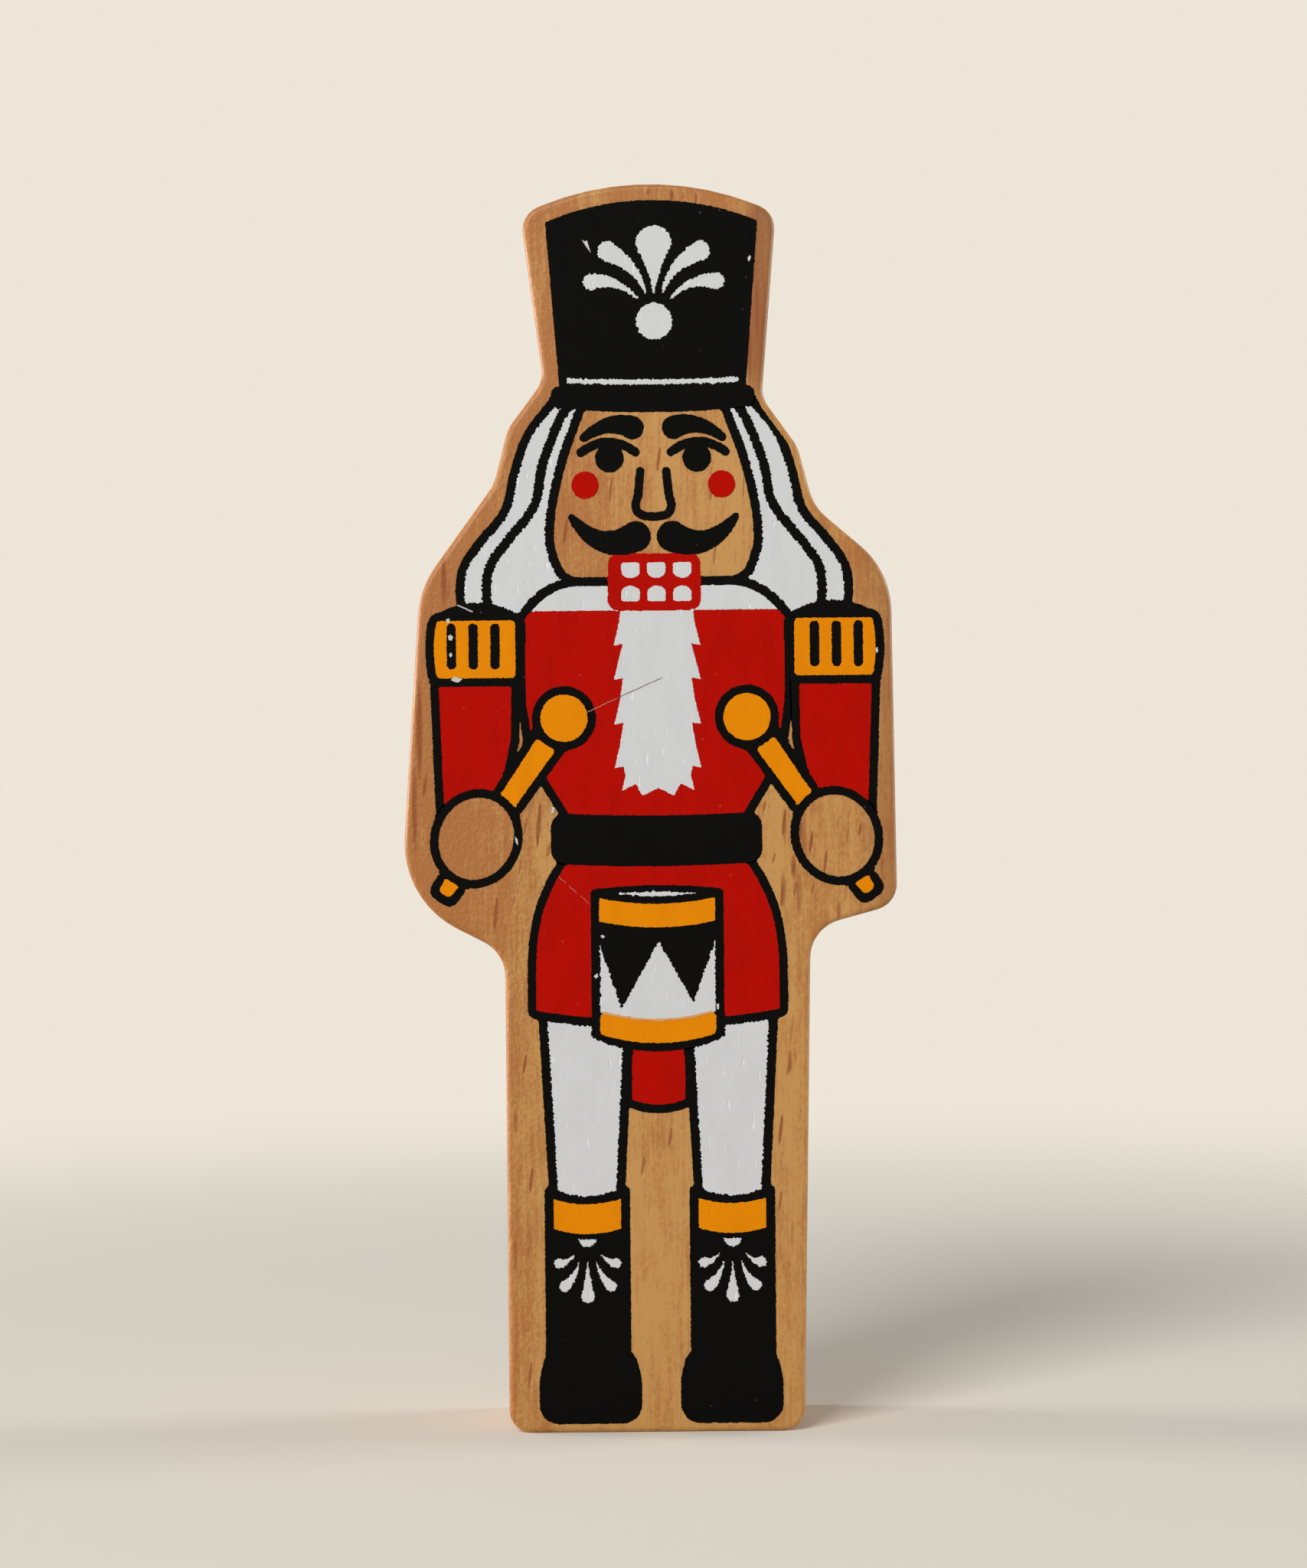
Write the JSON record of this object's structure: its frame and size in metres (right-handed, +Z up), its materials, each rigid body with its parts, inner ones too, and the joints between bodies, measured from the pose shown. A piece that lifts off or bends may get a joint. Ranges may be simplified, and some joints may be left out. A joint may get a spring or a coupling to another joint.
{
  "type": "toy soldier figure",
  "caption": "Flat wooden toy soldier with drum and drumsticks, sawn from board to its outline, printed in colour on the front and standing on its flat foot.",
  "frame": {"origin": "middle of the figure's foot: centre of the bounding box across and front to back, at the underside", "axes": "+Z up along the figure, -Y out of its printed front, +X to the right of a person who looks at the front"},
  "size_m": [0.0552, 0.0182, 0.1399],
  "materials": {
    "natural_wood": "sanded, clear satin lacquer",
    "ink_black": "satin printed ink, slightly worn",
    "ink_red": "satin printed ink, slightly worn",
    "ink_white": "satin printed ink, slightly worn",
    "ink_gold": "satin printed ink, slightly worn"
  },
  "bodies": {
    "root": {"wood_board": "natural_wood", "hat_black": "ink_black", "hat_crest_white": "ink_white", "hat_cord_white": "ink_white", "hair_white_left": "ink_white", "hair_white_right": "ink_white", "hair_line_left": "ink_black", "hair_line_right": "ink_black", "face_line": "ink_black", "eyebrows": "ink_black", "eyes": "ink_black", "nose": "ink_black", "cheeks_red": "ink_red", "moustache": "ink_black", "mouth_red": "ink_red", "teeth_white": "ink_white", "collar_white": "ink_white", "beard_white": "ink_white", "coat_red": "ink_red", "coat_line": "ink_black", "belt_black": "ink_black", "skirt_red": "ink_red", "skirt_line": "ink_black", "coat_tail_red": "ink_red", "coat_tail_line": "ink_black", "epaulette_gold_left": "ink_gold", "epaulette_gold_right": "ink_gold", "epaulette_black_left": "ink_black", "epaulette_black_right": "ink_black", "sleeve_red_left": "ink_red", "sleeve_red_right": "ink_red", "sleeve_line_left": "ink_black", "sleeve_line_right": "ink_black", "hand_line_left": "ink_black", "hand_line_right": "ink_black", "drumstick_gold_left": "ink_gold", "drumstick_gold_right": "ink_gold", "drumstick_line_left": "ink_black", "drumstick_line_right": "ink_black", "drum_black": "ink_black", "drum_hoops_gold": "ink_gold", "drum_shell_white": "ink_white", "drum_head_white": "ink_white", "trouser_white_left": "ink_white", "trouser_white_right": "ink_white", "trouser_line_left": "ink_black", "trouser_line_right": "ink_black", "boot_black_left": "ink_black", "boot_black_right": "ink_black", "boot_band_gold_left": "ink_gold", "boot_band_gold_right": "ink_gold", "boot_crest_white_left": "ink_white", "boot_crest_white_right": "ink_white"}
  },
  "joints": []
}
